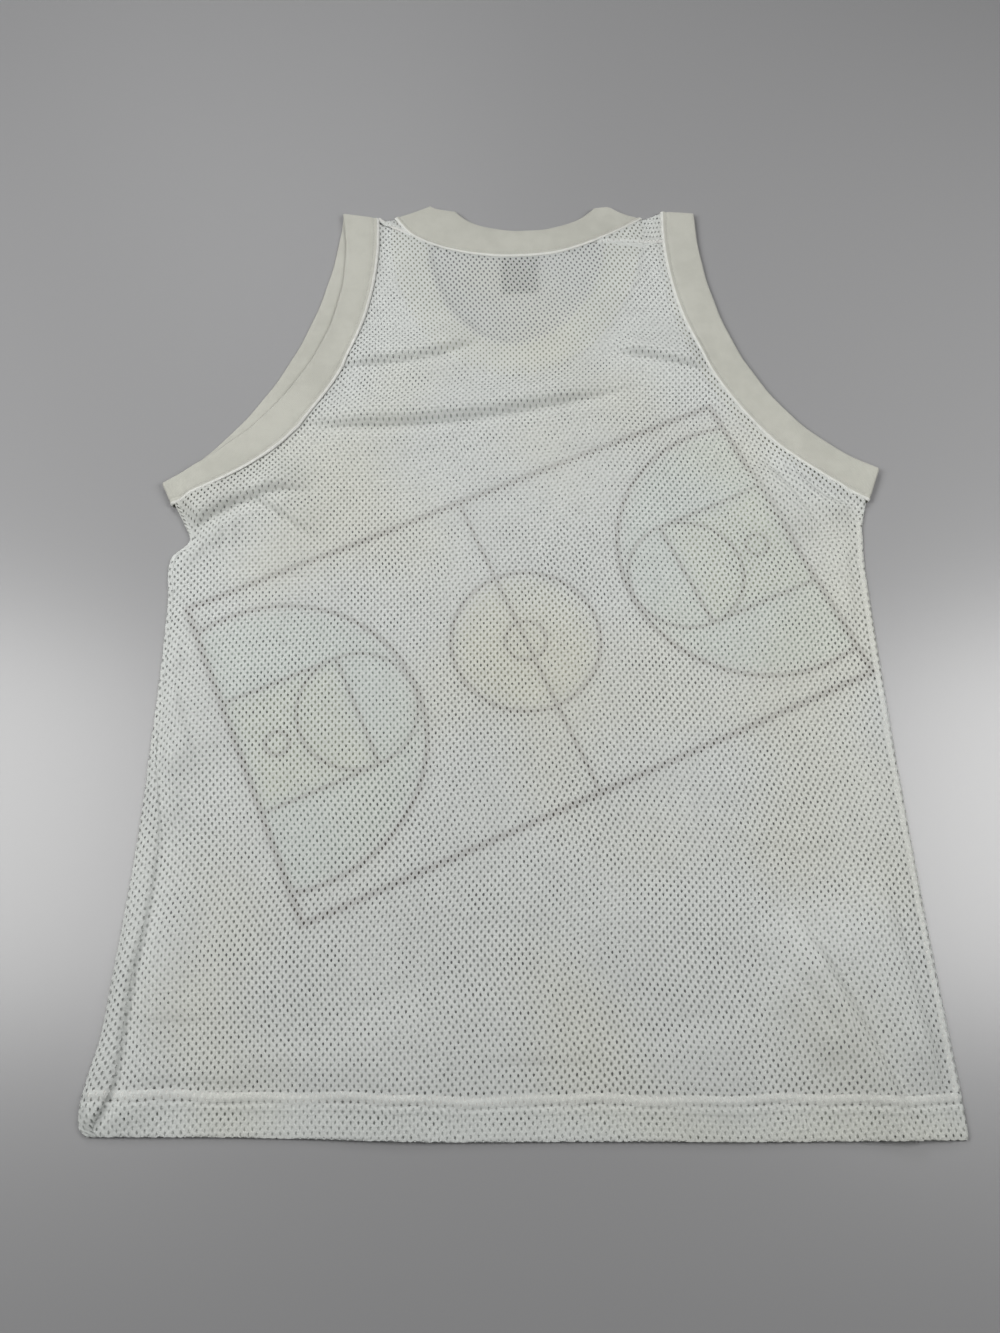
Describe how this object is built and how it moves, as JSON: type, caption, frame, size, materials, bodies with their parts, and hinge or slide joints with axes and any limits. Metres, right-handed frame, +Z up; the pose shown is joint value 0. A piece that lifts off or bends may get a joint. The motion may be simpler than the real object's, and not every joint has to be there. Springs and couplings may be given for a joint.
{
  "type": "sleeveless mesh sports jersey laid flat",
  "caption": "Loose sleeveless sports jersey in open mesh knit, with wide knitted bindings at the neck and armholes, laid flat with its back up.",
  "frame": {"origin": "middle of the footprint, on the surface that the jersey lies on", "axes": "+X to the wearer's right, +Y from the hem to the neck, +Z up out of the back"},
  "size_m": [0.592, 0.7869, 0.0097],
  "materials": {
    "mesh_knit": "white polyester eyelet mesh, soft and slightly lustrous",
    "rib_knit": "cream double knit, matte",
    "label_cloth": "plain dark woven label"
  },
  "bodies": {
    "root": {"front_panel": "mesh_knit", "back_panel": "mesh_knit", "neck_binding": "rib_knit", "armhole_binding_left": "rib_knit", "armhole_binding_right": "rib_knit", "neck_label": "label_cloth"}
  },
  "joints": []
}
